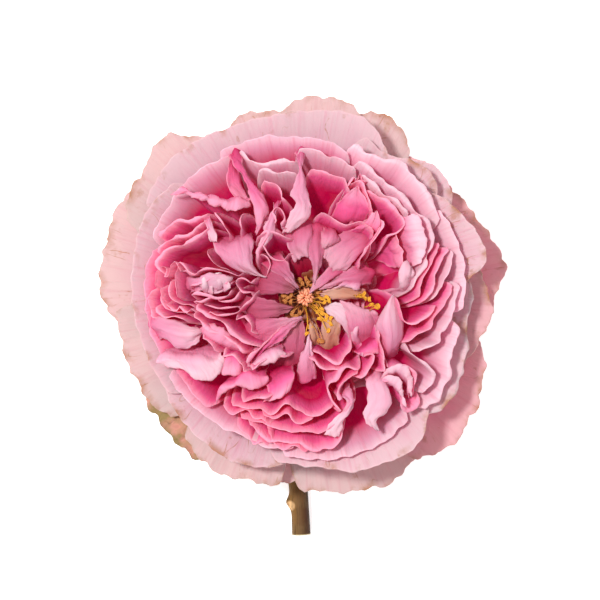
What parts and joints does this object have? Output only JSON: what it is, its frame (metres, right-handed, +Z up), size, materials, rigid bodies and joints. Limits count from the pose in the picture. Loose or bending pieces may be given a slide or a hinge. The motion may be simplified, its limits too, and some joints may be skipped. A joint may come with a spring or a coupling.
{
  "type": "rose flower",
  "caption": "Cut garden rose, fully open and very double, pale pink guards round a deep pink ruffled heart, lying face up with its short stem.",
  "frame": {"origin": "middle of the flower's footprint, on the surface it lies on", "axes": "+Z up out of the open face of the bloom, -Y along the stem towards its cut end, +X across the bloom"},
  "size_m": [0.1022, 0.112, 0.0463],
  "materials": {
    "guard_petal": "matte",
    "spreading_petal": "matte",
    "collar_petal": "matte",
    "inner_petal": "matte",
    "stem_bark": "matte",
    "sepal_green": "matte",
    "style_tissue": "matte",
    "anther_pollen": "matte"
  },
  "bodies": {
    "root": {"stem": "stem_bark", "sepal_1": "sepal_green", "sepal_2": "sepal_green", "sepal_3": "sepal_green", "sepal_4": "sepal_green", "sepal_5": "sepal_green", "styles": "style_tissue", "stamens": "anther_pollen", "guard_top": "guard_petal", "guard_top_right": "guard_petal", "guard_right_upper": "guard_petal", "guard_right": "guard_petal", "guard_right_inner": "guard_petal", "guard_right_lower": "guard_petal", "guard_bottom_right": "guard_petal", "guard_bottom_left": "guard_petal", "guard_left_wilted": "guard_petal", "guard_left_lower": "guard_petal", "guard_left": "guard_petal", "guard_left_upper": "guard_petal", "guard_top_left": "guard_petal", "spreading_top": "spreading_petal", "spreading_upper_right": "spreading_petal", "spreading_right_behind": "spreading_petal", "spreading_right": "spreading_petal", "spreading_right_lower": "spreading_petal", "spreading_bottom": "spreading_petal", "spreading_left_lower": "spreading_petal", "spreading_left": "spreading_petal", "collar_top": "collar_petal", "collar_upper_right": "collar_petal", "collar_right": "collar_petal", "collar_right_lower": "collar_petal", "collar_bottom": "collar_petal", "collar_left_lower": "collar_petal", "collar_left": "collar_petal", "collar_left_upper": "collar_petal", "top_lip": "inner_petal", "top_strip": "inner_petal", "white_fold": "inner_petal", "hollow_back": "inner_petal", "tile_outer": "inner_petal", "tile_inner": "inner_petal", "hollow_lip": "inner_petal", "right_sheet_outer": "inner_petal", "right_sheet_inner": "inner_petal", "right_fold": "inner_petal", "fold_outer": "inner_petal", "white_flap": "inner_petal", "lilac_back": "inner_petal", "zigzag": "inner_petal", "bottom_strip": "inner_petal", "flap_left": "inner_petal", "flap_lower": "inner_petal", "pocket_rim": "inner_petal", "lower_left_sheet": "inner_petal", "ridge": "inner_petal", "left_lip": "inner_petal", "wave_strip": "inner_petal", "flap_upper": "inner_petal"}
  },
  "joints": []
}
